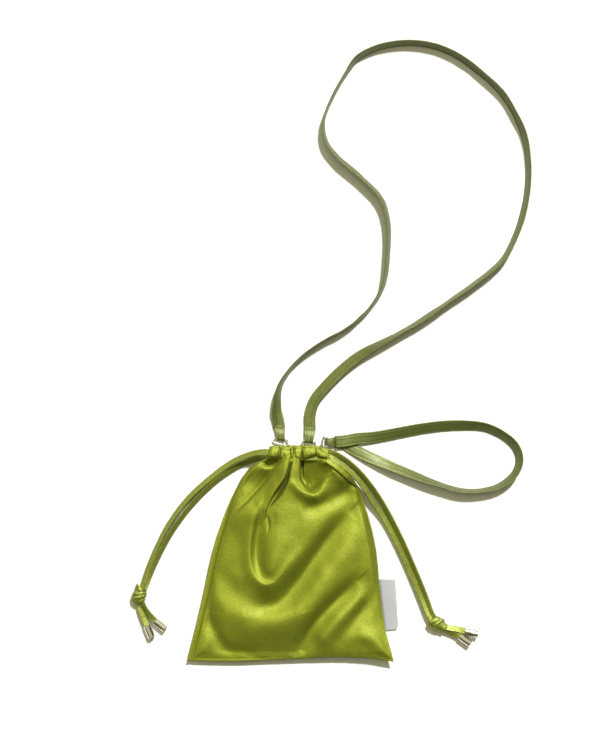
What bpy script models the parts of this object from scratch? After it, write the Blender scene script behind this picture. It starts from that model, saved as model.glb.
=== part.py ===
"""Gathered satin drawstring pouch, lying flat on its back, with a long shoulder strap,
a wrist strap, two drawstrings and a side label.

Units are metres, +Z is up and +Y runs from the bottom seam to the mouth. The route
lists below are in millimetres and are scaled by MM where they are used.
"""
import math

import bmesh
import bpy
from mathutils import Matrix, Vector

MM = 0.001

# ---- driving dimensions, in millimetres ----
CLOTH_T = 1.2            # panel cloth, seam allowance included
GAP = 0.3                # clearance between neighbouring pieces
CROWN = 21.0             # height of the filled front above its rim
FLAT_TO_Y = 48.0         # the back lies on the table up to here
NECK_LIFT = 5.2          # underside of the gathered neck above the table
PANEL_TOP_Y = 88.0       # where the panels end and the casing begins
CASING_BOTTOM_Y = 88.4
CASING_T = 4.5           # thickness of one side of the casing
MOUTH_GAP = 5.5          # open gap between the two sides of the casing
CASING_WALL = 1.0        # cloth above and below the cord channel
CHANNEL_Y = (90.8, 101.3)
CHANNEL_X = (-20.3, 38.4)
PLEAT_RISE = 1.4         # how far each gathered pleat stands out
CORD_W = 4.8             # flat drawstring
CORD_T = 1.8
TAIL_W = 3.0             # drawstring pinched below its knot
TAIL_T = 2.2
STRAP_W = 11.3           # shoulder and wrist strap
STRAP_T = 1.4
TIP_R = 3.65             # metal cord tip
TIP_LENGTH = 12.7
TIP_BORE_R = 2.9
TIP_BORE_DEPTH = 4.0
WIRE_R = 0.8             # clasp eye
HOOK_R = 0.9
GATE_R = 0.7
CLASP_Z = 2.5            # height of the clasps above the table
FOLD_GAP = 1.1           # half the inside gap of a strap end folded round its bar
LOOP_GAP = 1.25          # half the inside gap of a hang loop round its hook
LOOP_T = 0.6
LOOP_W = 3.0
LABEL_T = 0.5
TABLE_GAP = 0.1          # clearance between the label or a metal tip and the table
STRAP_LIFT = 0.3         # clearance between a strap's lower edge and the table
NECK_FLAT_Y = 84.0       # the underside is level again from here up
BOTTOM_SHARE = 0.34      # share of the panel's length over which it fills out from the bottom seam
NECK_SHARE = 0.62        # share of the panel's length where it starts to narrow into the neck
CASING_EDGE = 1.2        # chamfer of the casing's long edges
CHANNEL_EDGE = 0.4       # chamfer inside the cord channel
STRAND_SHORT = 3.5       # how far a strand stops short of the casing's other end
STRAND_LEAD = 3.0        # straight lead of a strand outside the casing
TAIL_Z = (4.2, 3.4, TIP_R + TABLE_GAP)

# ---- outline of the pouch, from the bottom seam to the neck: (y, left x, right x) ----
OUTLINE = [
    (-105.3, -99.9, 100.0), (-90.8, -97.1, 96.3), (-51.2, -87.1, 88.8), (-13.2, -79.0, 85.2),
    (21.0, -70.0, 79.8), (51.7, -58.2, 70.6), (71.7, -48.3, 62.0), (82.4, -40.8, 50.9),
    (88.0, -33.0, 44.5),
]
# ---- bottom seam, as (share of the width, y) ----
BOTTOM = [(0.0, -105.0), (0.26, -105.3), (0.53, -102.6), (0.76, -100.8), (0.9, -101.7), (1.0, -105.3)]

# ---- gathered casing, as (x, top y, pleat rise share) across the neck ----
PLEATS = [
    (-20.3, 104.6, 0.2), (-15.5, 106.0, 1.0), (-10.8, 105.2, 0.3), (-9.8, 104.2, 0.2), (-4.5, 104.8, 1.0),
    (0.6, 104.0, 0.2), (2.4, 105.4, 0.3), (6.5, 106.0, 1.0), (10.6, 105.0, 0.2), (12.2, 105.0, 0.2),
    (18.5, 106.0, 1.0), (25.2, 104.2, 0.2), (26.4, 102.8, 0.3), (32.0, 102.8, 1.0), (38.4, 102.4, 0.2),
]

# ---- drawstring centre lines outside the casing, as (x, y) ----
LEFT_ROUTE = [
    (-30.2, 95.3), (-41.1, 92.6), (-55.5, 85.9), (-75.4, 71.5), (-97.1, 51.7), (-115.1, 28.2),
    (-127.7, 4.8), (-137.4, -17.5), (-141.2, -28.0),
]
RIGHT_ROUTE = [
    (51.0, 88.6), (62.5, 79.0), (73.2, 67.0), (83.4, 52.2), (94.6, 33.7), (106.8, 9.3),
    (118.5, -17.1), (129.3, -43.4), (135.6, -59.6),
]
LEFT_UPPER_Z = [14.6, 10.6, 5.4, 1.1, 1.1, 1.1, 1.1, 2.2, 4.6]
LEFT_LOWER_Z = [5.6, 2.6, 1.1, 1.1, 1.1, 1.1, 1.1, 2.2, 4.6]
RIGHT_UPPER_Z = [6.2, 5.4, 4.4, 3.0, 1.4, 1.1, 1.1, 2.2, 4.6]
RIGHT_LOWER_Z = [15.4, 12.6, 9.8, 6.6, 2.6, 1.1, 1.1, 2.2, 4.6]
PAIR_OFFSET = 2.6        # half the distance between the two strands of one drawstring
UPPER_CHANNEL_Y = 98.6
LOWER_CHANNEL_Y = 93.5

KNOTS = {"left": ((-147.7, -40.2, 5.1), (7.8, 9.7, 5.0)), "right": ((141.7, -70.3, 5.1), (9.4, 8.6, 5.0))}

# ---- tails: the route from the knot, then the line of the tip, as (x, y) ----
TAILS = {
    "left_inner": ([(-142.1, -50.4), (-137.6, -59.0), (-132.8, -64.9)], (-131.7, -65.9), (-122.9, -73.2)),
    "left_outer": ([(-146.1, -51.2), (-143.4, -62.0), (-140.5, -69.2)], (-139.9, -70.6), (-135.2, -82.0)),
    "right_upper": ([(152.3, -70.9), (161.0, -73.4), (168.8, -75.7)], (170.2, -76.1), (181.5, -79.0)),
    "right_lower": ([(151.2, -75.0), (157.2, -77.4), (163.7, -80.2)], (164.9, -81.0), (175.1, -88.3)),
}

# ---- straps, as (x, y, lean): lean is 0 flat and 90 on edge ----
SHOULDER_ROUTE = [
    (-10.8, 124.6, 0), (-13.2, 141.2, 36), (-11.1, 159.8, 60), (-2.5, 175.5, 66), (11.7, 191.3, 72),
    (31.8, 205.6, 75), (50.3, 215.6, 75), (64.7, 225.7, 75), (79.0, 240.0, 72), (89.1, 257.2, 60),
    (93.4, 275.7, 50), (95.6, 309.4, 50), (93.5, 330.8, 50), (86.2, 348.0, 55), (66.2, 368.1, 55),
    (47.6, 383.8, 55), (34.7, 401.0, 62), (32.6, 421.0, 74), (40.5, 442.5, 74), (53.4, 465.4, 70),
    (64.8, 481.2, 62), (83.4, 491.1, 52), (107.7, 496.9, 50), (133.6, 495.4, 50), (159.3, 485.5, 50),
    (183.6, 468.3, 50), (205.1, 448.2, 50), (219.4, 425.3, 50), (228.0, 403.8, 50), (231.5, 381.0, 50),
    (230.8, 355.2, 50), (226.5, 330.8, 54), (219.4, 309.4, 60), (206.5, 285.4, 65), (183.0, 265.0, 66),
    (156.6, 246.4, 64), (126.3, 225.7, 58), (96.2, 208.5, 50), (70.4, 194.1, 42), (51.8, 179.8, 34),
    (34.6, 162.6, 30), (23.2, 148.4, 20), (18.6, 134.0, 5), (18.9, 122.0, 0),
]
WRIST_ROUTE = [
    (45.4, 108.2, 0), (54.0, 109.0, 0), (66.0, 111.2, 5), (83.9, 112.9, 10), (128.8, 121.1, 15),
    (158.6, 124.0, 20), (188.5, 122.5, 30), (210.8, 111.3, 50), (221.0, 99.4, 55), (222.3, 86.0, 58),
    (214.3, 72.5, 62), (197.5, 63.0, 66), (170.5, 60.3, 70), (143.7, 67.1, 70), (113.8, 78.0, 66),
    (83.9, 90.0, 55), (66.0, 97.6, 35), (54.0, 104.2, 6), (47.0, 106.6, 0),
]
WRIST_LIFT = {0: 3.3, 1: 3.2, 2: 1.6}    # extra height where the upper end crosses the lower one
SHOULDER_POINTS = 76
WRIST_POINTS = 40
STRAND_POINTS = 30
TAIL_POINTS = 7

# ---- clasps: bar centre, bar direction, half bar, barrel start, barrel direction ----
HINGE_LINE = (-9.25, 111.0), (18.0, 108.85)
HINGE_WAY = (27.25, -2.15)
CLASPS = {
    "left": (HINGE_LINE[0], HINGE_WAY, 6.3, (-1.5, 103.9), (0.754, -0.657)),
    "right": (HINGE_LINE[1], HINGE_WAY, 6.1, (19.0, 102.4), (0.05, -0.9987)),
    "wrist": ((36.0, 108.0), (0.0, 1.0), 4.9, (30.2, 103.4), (0.0, -1.0)),
}
EYE_DEPTH = 3.5          # straight side of the eye before it closes in to the barrel
EYE_CORNER = 1.2
BARREL_SINK = 1.6        # how far the barrel reaches back over the eye
BARREL_R = 1.8
BARREL_LENGTH = 3.0
BARREL_SIDES = 20
TIP_SIDES = 24
HOOK = [(-1.1, 2.6), (-2.9, 4.6), (-3.2, 7.4), (-2.1, 9.7), (-0.2, 10.6), (1.7, 9.9), (2.6, 8.3)]
GATE = [(1.5, 4.0), (2.5, 7.4)]
LOOP_FROM = 8.1
LOOP_TO = 16.6

# ---- folded strap ends: clasp, width, length of the legs ----
STRAP_ENDS = {
    "shoulder_strap_left_end": ("left", 9.2, 12.2),
    "shoulder_strap_right_end": ("right", 9.0, 12.2),
    "wrist_strap_end": ("wrist", 6.8, 8.2),
}

# ---- side label: corners at the seam, then its free edge ----
LABEL_HINGE = (90.2, -26.2), (95.8, -77.0)
LABEL_FREE = (104.4, -25.8), (108.2, -75.6)

SATIN = ((0.42, 0.49, 0.07), 0.35, 0.0)
MATERIALS = {
    "satin": SATIN,
    "strap": ((0.22, 0.25, 0.06), 0.4, 0.0),
    "cord": ((0.38, 0.45, 0.08), 0.35, 0.0),
    "nickel": ((0.62, 0.60, 0.56), 0.22, 1.0),
    "label": ((0.62, 0.62, 0.60), 0.7, 0.0),
}


def clear_scene():
    for obj in list(bpy.data.objects):
        bpy.data.objects.remove(obj)


def material(name, slot):
    colour, roughness, metallic = MATERIALS[slot]
    mat = bpy.data.materials.new(name)
    mat.use_nodes = True
    shader = mat.node_tree.nodes["Principled BSDF"]
    shader.inputs["Base Color"].default_value = (*colour, 1.0)
    shader.inputs["Roughness"].default_value = roughness
    shader.inputs["Metallic"].default_value = metallic
    return mat


def link(obj, slot):
    bpy.context.scene.collection.objects.link(obj)
    obj.data.materials.append(material(obj.name, slot))
    return obj


def mesh_object(name, bm, slot):
    bmesh.ops.recalc_face_normals(bm, faces=bm.faces)
    mesh = bpy.data.meshes.new(name)
    bm.to_mesh(mesh)
    bm.free()
    return link(bpy.data.objects.new(name, mesh), slot)


def at_mm(x, y, z=0.0):
    return Vector((x, y, z)) * MM


def lookup(table, t, column):
    """Straight-line reading of a column of a sorted table."""
    if t <= table[0][0]:
        return table[0][column]
    for low, high in zip(table, table[1:]):
        if t <= high[0]:
            share = (t - low[0]) / (high[0] - low[0])
            return low[column] + (high[column] - low[column]) * share
    return table[-1][column]


def smooth(points, count, closed=False):
    """Even points along a smooth curve through the points given."""
    pts = [Vector(p) for p in points]
    if closed:
        pts = [pts[-1]] + pts + [pts[0], pts[1]]
    else:
        pts = [2 * pts[0] - pts[1]] + pts + [2 * pts[-1] - pts[-2]]
    fine = []
    steps = 24
    for i in range(1, len(pts) - 2):
        a, b, c, d = pts[i - 1:i + 3]
        for k in range(steps):
            t = k / steps
            fine.append(0.5 * (2 * b + (c - a) * t + (2 * a - 5 * b + 4 * c - d) * t * t
                               + (3 * b - a - 3 * c + d) * t ** 3))
    if not closed:
        fine.append(pts[-2])
    lengths = [0.0]
    for p, q in zip(fine, fine[1:]):
        lengths.append(lengths[-1] + (q - p).length)
    out = []
    spans = count if closed else count - 1
    j = 0
    for k in range(count):
        target = lengths[-1] * k / spans
        while j < len(fine) - 2 and lengths[j + 1] < target:
            j += 1
        share = (target - lengths[j]) / max(lengths[j + 1] - lengths[j], 1e-9)
        out.append(fine[j].lerp(fine[j + 1], min(share, 1.0)))
    return out


def curve_object(name, slot, points, radius, tilts=None, half_width=0.0, closed=False, resolution=2):
    curve = bpy.data.curves.new(name, 'CURVE')
    curve.dimensions = '3D'
    curve.twist_mode = 'Z_UP'
    curve.extrude = half_width * MM
    curve.bevel_depth = radius * MM
    curve.bevel_resolution = resolution
    curve.use_fill_caps = not closed
    spline = curve.splines.new('POLY')
    spline.points.add(len(points) - 1)
    spline.use_cyclic_u = closed
    for i, (target, p) in enumerate(zip(spline.points, points)):
        target.co = (p[0] * MM, p[1] * MM, p[2] * MM, 1.0)
        target.tilt = tilts[i] if tilts else 0.0
    return link(bpy.data.objects.new(name, curve), slot)


def ribbon(name, slot, route, width, thickness, count, lift=None):
    """Flat tape along (x, y, lean) points, its lower edge held just above the table."""
    points = []
    for i, (x, y, lean) in enumerate(route):
        extra = (lift or {}).get(i, 0.0)
        points.append((x, y, extra, lean))
    even = smooth([Vector(p) for p in points], count)
    placed = []
    tilts = []
    for x, y, extra, lean in even:
        a = math.radians(lean)
        low = 0.5 * width * abs(math.sin(a)) + 0.5 * thickness * abs(math.cos(a))
        placed.append((x, y, low + STRAP_LIFT + extra))
        tilts.append(math.radians(90.0) - a)
    return curve_object(name, slot, placed, thickness / 2, tilts, (width - thickness) / 2, resolution=1)


def rise(y):
    """Height of the pouch's underside: flat on the table, then lifting to the neck."""
    t = min(max((y - FLAT_TO_Y) / (NECK_FLAT_Y - FLAT_TO_Y), 0.0), 1.0)
    return NECK_LIFT * t * t * (3 - 2 * t)


def panel_xy(u, v):
    """Plan position of the panel at a share u across and v up."""
    low = lookup(BOTTOM, u, 1)
    y = low + (PANEL_TOP_Y - low) * v
    left = lookup(OUTLINE, y, 1)
    right = lookup(OUTLINE, y, 2)
    return left + (right - left) * u, y


def crown(u, v):
    """Height of the front panel's inner face above the rim."""
    across = max(1.0 - (2 * u - 1) ** 2, 0.0) ** (0.5 - 0.15 * v)
    up = min(v / BOTTOM_SHARE, 1.0)
    filled = math.sin(up * math.pi / 2) ** 0.9
    neck = max((v - NECK_SHARE) / (1.0 - NECK_SHARE), 0.0)
    neck_height = 2 * CASING_T + MOUTH_GAP - 2 * CLOTH_T - GAP
    height = CROWN + (neck_height - CROWN) * neck * neck * (3 - 2 * neck)
    return height * across * filled


def shell(name, slot, under, thickness, across, up):
    """Closed sheet between under(u, v) and a parallel face above it."""
    bm = bmesh.new()
    rows = {}
    for side in (0, 1):
        for j in range(up + 1):
            for i in range(across + 1):
                u = 0.5 - 0.5 * math.cos(math.pi * i / across)
                v = j / up
                x, y = panel_xy(u, v)
                rows[side, i, j] = bm.verts.new(at_mm(x, y, under(u, v, y) + side * thickness))
    for j in range(up):
        for i in range(across):
            for side in (0, 1):
                quad = [rows[side, i + a, j + b] for a, b in ((0, 0), (1, 0), (1, 1), (0, 1))]
                bm.faces.new(quad if side else quad[::-1])
    edge = [(i, 0) for i in range(across)] + [(across, j) for j in range(up)]
    edge += [(i, up) for i in range(across, 0, -1)] + [(0, j) for j in range(up, 0, -1)]
    for a, b in zip(edge, edge[1:] + edge[:1]):
        bm.faces.new([rows[0, a[0], a[1]], rows[0, b[0], b[1]], rows[1, b[0], b[1]], rows[1, a[0], a[1]]])
    return mesh_object(name, bm, slot)


def casing(name, floor_z, pleat_rise):
    """One gathered side of the casing: a flattened tube with a straight cord channel."""
    low_in = floor_z + CASING_WALL
    high_in = floor_z + CASING_T - CASING_WALL
    bm = bmesh.new()
    rings = []
    for x, top, share in PLEATS:
        low = floor_z
        high = floor_z + CASING_T + pleat_rise * share
        soft = CASING_EDGE
        foot = CASING_BOTTOM_Y
        outer = [
            (foot, low + soft), (foot + soft, low), (top - soft, low), (top, low + soft),
            (top, high - soft), (top - soft, high), (foot + soft, high), (foot, high - soft),
        ]
        c0, c1 = CHANNEL_Y
        cut = CHANNEL_EDGE
        inner = [
            (c0, low_in + cut), (c0 + cut, low_in), (c1 - cut, low_in), (c1, low_in + cut),
            (c1, high_in - cut), (c1 - cut, high_in), (c0 + cut, high_in), (c0, high_in - cut),
        ]
        rings.append([[bm.verts.new(at_mm(x, y, z)) for y, z in loop] for loop in (outer, inner)])
    for a, b in zip(rings, rings[1:]):
        for loop in (0, 1):
            for k in range(8):
                n = (k + 1) % 8
                bm.faces.new([a[loop][k], a[loop][n], b[loop][n], b[loop][k]])
    for ring in (rings[0], rings[-1]):
        for k in range(8):
            n = (k + 1) % 8
            bm.faces.new([ring[0][k], ring[0][n], ring[1][n], ring[1][k]])
    return mesh_object(name, bm, "satin")


def offset_route(route, offset):
    """The route moved sideways; a positive offset is to the left of its direction."""
    out = []
    for i, (x, y) in enumerate(route):
        a = Vector(route[max(i - 1, 0)])
        b = Vector(route[min(i + 1, len(route) - 1)])
        along = (b - a).normalized()
        out.append((x - along.y * offset, y + along.x * offset))
    return out


def strand(name, route, heights, side, channel_y, channel_z):
    """One strand of a drawstring: straight in its channel, then along the route."""
    exit_x = CHANNEL_X[0] if side < 0 else CHANNEL_X[1]
    far_x = CHANNEL_X[1] - STRAND_SHORT if side < 0 else CHANNEL_X[0] + STRAND_SHORT
    inside = [(far_x + (exit_x - far_x) * k / 5, channel_y, channel_z) for k in range(6)]
    inside.append((exit_x + side * STRAND_LEAD, channel_y, channel_z))
    offset = PAIR_OFFSET if channel_y == UPPER_CHANNEL_Y else -PAIR_OFFSET
    plan = offset_route(route, offset * side)
    points = inside + [(x, y, z) for (x, y), z in zip(plan, heights)]
    even = smooth(points, STRAND_POINTS)
    flat = [math.radians(90.0)] * len(even)
    return curve_object(name, "cord", even, CORD_T / 2, flat, (CORD_W - CORD_T) / 2, resolution=2)


def knot(name, centre, radii):
    bm = bmesh.new()
    bmesh.ops.create_uvsphere(bm, u_segments=20, v_segments=12, radius=1.0)
    for v in bm.verts:
        ridge = 1.0 + 0.04 * math.sin(3.0 * math.atan2(v.co.y, v.co.x) + 4.0 * v.co.z)
        v.co = Vector(v.co[k] * radii[k] for k in range(3)) * ridge * MM + at_mm(*centre)
    return mesh_object(name, bm, "cord")


def revolve(bm, profile, segments):
    """Closed solid of revolution about local Y from (radius, y) points; zero radius closes an end."""
    rings = []
    for radius, y in profile:
        if radius == 0.0:
            rings.append([bm.verts.new(at_mm(0.0, y, 0.0))])
            continue
        ring = []
        for k in range(segments):
            a = 2 * math.pi * k / segments
            ring.append(bm.verts.new(at_mm(radius * math.cos(a), y, radius * math.sin(a))))
        rings.append(ring)
    for a, b in zip(rings, rings[1:]):
        for k in range(segments):
            n = (k + 1) % segments
            if len(a) == 1:
                bm.faces.new([a[0], b[n], b[k]])
            elif len(b) == 1:
                bm.faces.new([a[k], a[n], b[0]])
            else:
                bm.faces.new([a[k], a[n], b[n], b[k]])


def along_y(start, end, z):
    """Matrix that takes local +Y to the line from start to end, in the plane at height z."""
    d = (Vector(end) - Vector(start)).normalized()
    turn = Matrix.Rotation(math.atan2(d.y, d.x) - math.pi / 2, 4, 'Z')
    return Matrix.Translation(at_mm(start[0], start[1], z)) @ turn


def cord_tip(name, start, end):
    """Metal bell end: a narrow neck on the cord and an open rim at the far end."""
    bm = bmesh.new()
    back = TIP_LENGTH - TIP_BORE_DEPTH
    profile = [
        (0.0, 0.0), (2.2, 0.0), (2.8, 0.9), (TIP_R, 2.6), (TIP_R, TIP_LENGTH - 0.4),
        (TIP_R - 0.3, TIP_LENGTH), (TIP_BORE_R, TIP_LENGTH), (TIP_BORE_R, back), (0.0, back),
    ]
    revolve(bm, profile, TIP_SIDES)
    obj = mesh_object(name, bm, "nickel")
    obj.matrix_world = along_y(start, end, TIP_R + TABLE_GAP)
    return obj


def prism(name, slot, outline, width, placed):
    """Outline in the local (y, z) plane, given width along local X, then placed."""
    bm = bmesh.new()
    faces = []
    for x in (-width / 2, width / 2):
        faces.append([bm.verts.new(at_mm(x, y, z)) for y, z in outline])
    bm.faces.new(faces[0])
    bm.faces.new(faces[1][::-1])
    count = len(outline)
    for k in range(count):
        n = (k + 1) % count
        bm.faces.new([faces[0][k], faces[0][n], faces[1][n], faces[1][k]])
    obj = mesh_object(name, bm, slot)
    obj.matrix_world = placed
    return obj


def hairpin(gap, thickness, bight, legs):
    """Outline of a tape folded in two: round bight at y = bight, legs out to y = legs."""
    inner = []
    outer = []
    for k in range(7):
        a = math.pi / 2 + math.pi * k / 6
        centre = bight + gap + thickness
        inner.append((centre + gap * math.cos(a), gap * math.sin(a)))
        outer.append((centre + (gap + thickness) * math.cos(a), (gap + thickness) * math.sin(a)))
    ends = [(legs, -gap - thickness), (legs, -gap)]
    return [(legs, gap + thickness)] + outer + ends + inner[::-1] + [(legs, gap)]


def union(target, cutters):
    """Fuse the other pieces into the target; they stay hidden as construction pieces."""
    for cutter in cutters:
        cutter.hide_render = True
        cutter.display_type = 'WIRE'
        mod = target.modifiers.new("fuse", 'BOOLEAN')
        mod.operation = 'UNION'
        mod.solver = 'EXACT'
        mod.object = cutter


def tube_mesh(name, points, radius, closed, segments=10):
    """Round wire as a mesh, along points in one plane z = const."""
    bm = bmesh.new()
    rings = []
    count = len(points)
    for i in range(count):
        before = points[(i - 1) % count] if closed or i else points[0]
        after = points[(i + 1) % count] if closed or i < count - 1 else points[-1]
        along = (Vector(after) - Vector(before)).normalized()
        side = Vector((-along.y, along.x, 0.0))
        ring = []
        for k in range(segments):
            a = 2 * math.pi * (k + 0.5) / segments
            p = Vector(points[i]) + side * radius * math.cos(a) + Vector((0, 0, 1)) * radius * math.sin(a)
            ring.append(bm.verts.new(p * MM))
        rings.append(ring)
    pairs = list(zip(rings, rings[1:] + rings[:1])) if closed else list(zip(rings, rings[1:]))
    for a, b in pairs:
        for k in range(segments):
            n = (k + 1) % segments
            bm.faces.new([a[k], a[n], b[n], b[k]])
    if not closed:
        bm.faces.new(rings[0])
        bm.faces.new(rings[-1][::-1])
    return mesh_object(name, bm, "nickel")


def clasp(side):
    """Hook with a swivel-style eye, a sprung gate, and the hang loop it holds."""
    centre, bar, half, start, heading = CLASPS[side]
    barrel_to = (start[0] + heading[0], start[1] + heading[1])
    place = along_y(start, barrel_to, CLASP_Z)
    bar_dir = Vector(bar).normalized()
    inward = Vector((bar_dir.y, -bar_dir.x))
    if inward.dot(Vector(start) - Vector(centre)) < 0:
        inward = -inward
    c = Vector(centre)
    apex = Vector(start)
    a = c - bar_dir * half
    b = c + bar_dir * half
    eye = [
        a + bar_dir * EYE_CORNER, c, b - bar_dir * EYE_CORNER, b + inward * EYE_CORNER,
        b + inward * EYE_DEPTH, apex, a + inward * EYE_DEPTH, a + inward * EYE_CORNER,
    ]
    eye_path = smooth([(p.x, p.y, CLASP_Z) for p in eye], 40, closed=True)
    body = tube_mesh(f"{side}_clasp_body", eye_path, WIRE_R, True)
    bm = bmesh.new()
    profile = [(0.0, -BARREL_SINK), (BARREL_R, -BARREL_SINK), (BARREL_R, BARREL_LENGTH), (0.0, BARREL_LENGTH)]
    revolve(bm, profile, BARREL_SIDES)
    barrel = mesh_object(f"{side}_barrel_tool", bm, "nickel")
    barrel.matrix_world = place
    hook_path = smooth([(x, y, 0.0) for x, y in HOOK], 16)
    hook = tube_mesh(f"{side}_hook_tool", hook_path, HOOK_R, False)
    hook.matrix_world = place
    union(body, [barrel, hook])
    pivot = Vector(GATE[0])
    tip = Vector(GATE[1])
    gate_path = [(0.0, 0.0, 0.0), ((tip - pivot).x, (tip - pivot).y, 0.0)]
    gate = tube_mesh(f"{side}_clasp_gate", gate_path, GATE_R, False)
    gate.matrix_world = place @ Matrix.Translation(at_mm(pivot.x, pivot.y))
    prism(f"{side}_hang_loop", "satin", hairpin(LOOP_GAP, LOOP_T, LOOP_FROM, LOOP_TO), LOOP_W,
          place @ Matrix.Translation(at_mm(-0.3, 0.0)))


def strap_end(name, side, width, legs):
    """Folded strap end around the bar of a clasp eye."""
    centre, bar, _, start, _ = CLASPS[side]
    bar_dir = Vector(bar).normalized()
    outward = Vector((-bar_dir.y, bar_dir.x))
    if outward.dot(Vector(start) - Vector(centre)) > 0:
        outward = -outward
    to = (centre[0] + outward.x, centre[1] + outward.y)
    outline = hairpin(FOLD_GAP, STRAP_T * 0.8, -FOLD_GAP - STRAP_T * 0.8, legs)
    prism(name, "strap", outline, width, along_y(centre, to, CLASP_Z))


def side_label():
    """Folded cloth label, its origin on the edge that is sewn to the side seam."""
    a, b = (Vector(p) for p in LABEL_HINGE)
    c, d = (Vector(p) for p in LABEL_FREE)
    bm = bmesh.new()
    loops = []
    for z in (TABLE_GAP, TABLE_GAP + LABEL_T):
        loops.append([bm.verts.new(at_mm(p.x - a.x, p.y - a.y, z)) for p in (a, b, d, c)])
    bm.faces.new(loops[0])
    bm.faces.new(loops[1][::-1])
    for k in range(4):
        n = (k + 1) % 4
        bm.faces.new([loops[0][k], loops[0][n], loops[1][n], loops[1][k]])
    obj = mesh_object("side_label", bm, "label")
    obj.location = at_mm(a.x, a.y)


def build():
    clear_scene()
    shell("back_panel", "satin", lambda u, v, y: rise(y), CLOTH_T, 22, 22)
    shell("front_panel", "satin", lambda u, v, y: rise(y) + CLOTH_T + GAP + crown(u, v), CLOTH_T, 24, 24)
    front_z = NECK_LIFT + CASING_T + MOUTH_GAP
    casing("back_casing", NECK_LIFT, 0.0)
    casing("front_casing", front_z, PLEAT_RISE)
    back_mid = NECK_LIFT + CASING_T / 2
    front_mid = front_z + CASING_T / 2
    strand("left_front_strand", LEFT_ROUTE, LEFT_UPPER_Z, -1, UPPER_CHANNEL_Y, front_mid)
    strand("left_back_strand", LEFT_ROUTE, LEFT_LOWER_Z, -1, LOWER_CHANNEL_Y, back_mid)
    strand("right_front_strand", RIGHT_ROUTE, RIGHT_LOWER_Z, 1, LOWER_CHANNEL_Y, front_mid)
    strand("right_back_strand", RIGHT_ROUTE, RIGHT_UPPER_Z, 1, UPPER_CHANNEL_Y, back_mid)
    for side, (centre, radii) in KNOTS.items():
        knot(f"{side}_knot", centre, radii)
    for name, (route, start, end) in TAILS.items():
        points = smooth([(x, y, z) for (x, y), z in zip(route, TAIL_Z)], TAIL_POINTS)
        flat = [math.radians(90.0)] * len(points)
        curve_object(f"{name}_tail", "cord", points, TAIL_T / 2, flat, (TAIL_W - TAIL_T) / 2)
        cord_tip(f"{name}_tip", start, end)
    ribbon("shoulder_strap", "strap", SHOULDER_ROUTE, STRAP_W, STRAP_T, SHOULDER_POINTS)
    ribbon("wrist_strap", "strap", WRIST_ROUTE, STRAP_W, STRAP_T, WRIST_POINTS, WRIST_LIFT)
    for side in CLASPS:
        clasp(side)
    for name, (side, width, legs) in STRAP_ENDS.items():
        strap_end(name, side, width, legs)
    side_label()


build()
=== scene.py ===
"""Satin drawstring pouch: what it looks like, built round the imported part."""

import math

import bmesh
import bpy
import numpy as np
from mathutils import Matrix, Vector, noise


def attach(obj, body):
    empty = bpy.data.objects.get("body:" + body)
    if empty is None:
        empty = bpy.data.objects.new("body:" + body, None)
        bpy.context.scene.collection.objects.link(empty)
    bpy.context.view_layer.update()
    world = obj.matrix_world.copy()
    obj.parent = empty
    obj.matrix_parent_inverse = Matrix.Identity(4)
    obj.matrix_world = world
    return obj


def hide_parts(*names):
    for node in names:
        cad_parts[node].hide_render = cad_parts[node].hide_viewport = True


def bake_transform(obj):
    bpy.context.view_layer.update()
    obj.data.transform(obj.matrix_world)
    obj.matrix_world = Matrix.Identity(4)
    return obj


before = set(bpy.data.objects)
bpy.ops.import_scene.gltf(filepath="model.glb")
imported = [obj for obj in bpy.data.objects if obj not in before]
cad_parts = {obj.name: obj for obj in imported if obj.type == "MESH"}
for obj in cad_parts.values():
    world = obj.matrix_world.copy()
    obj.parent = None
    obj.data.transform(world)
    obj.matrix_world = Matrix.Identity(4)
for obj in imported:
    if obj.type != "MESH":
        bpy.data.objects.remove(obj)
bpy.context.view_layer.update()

MM = 0.001

# ---- camera and light
CAMERA_AT = (9.3, 173.2, 2000.0)
CAMERA_LENS = 98.4
KEY_AZIMUTH = 67.0
KEY_ELEVATION = 47.0
KEY_STRENGTH = 4.6
KEY_SIZE = 5.0
FILL_AZIMUTH = 116.0
FILL_ELEVATION = 54.0
FILL_FROM = 0.25
FILL_LOW = 0.03
FILL_HIGH = 0.88
FILL_COLOUR = (1.0, 0.965, 0.60, 1.0)
FLOOR_SIZE = 60.0
FLOOR_DROP = 0.1

# ---- widths and thicknesses in millimetres
STRAP_W = 11.3
STRAP_T = 1.1
CORD_W = 6.0
CORD_T = 1.7
TAIL_W = 5.8
TAIL_T = 2.0
HEM_W = 5.4
HEM_T = 1.3
SATIN_T = 0.45
TABLE_GAP = 0.1

# ---- how finely things are drawn
SPLINE_STEPS = 24
SHOULDER_STEPS = 420
WRIST_STEPS = 200
STRAND_STEPS = 190
TAIL_STEPS = 40
FOLDED_END_STEPS = 44
HEM_STEPS = 60
HEM_PLACES = 9
LABEL_STEPS = 40
FOLD_STEPS = 4
CORE_STEPS = 34
CORE_SIDES = 64
BAND_STEPS = 84
BAND_SIDES = 26
TIP_SIDES = 48
CASING_SIDES = 40
PUFF_STEPS = 34
FRONT_GRID = (260, 240)
BACK_GRID = (120, 120)

# ---- how tape is pressed and rippled, and how other shapes are finished
# rows of (place across as a share of half the width, height as a share of half the thickness)
TAPE_HALF = [
    (0.0, 0.98), (0.35, 1.06), (0.62, 0.92), (0.70, 0.62), (0.78, 0.95), (0.88, 1.0), (0.96, 0.72),
    (1.0, 0.0),
]
STITCH_ROW = 0.70
PLAIN_LIFT = 0.95
# (height, length along, length across)
BROAD_RIPPLE = (0.55, 9.0, 7.0)
FINE_RIPPLE = (0.30, 3.6, 5.0)
LEAN_DRIFT = 0.16
LEAN_PATCH = (26, 26)
TAPER_FROM = 0.6
GRAIN_GAIN = 1.6
AXIS_RADIUS = 1e-3
SHARP_EDGE = 32


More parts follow.
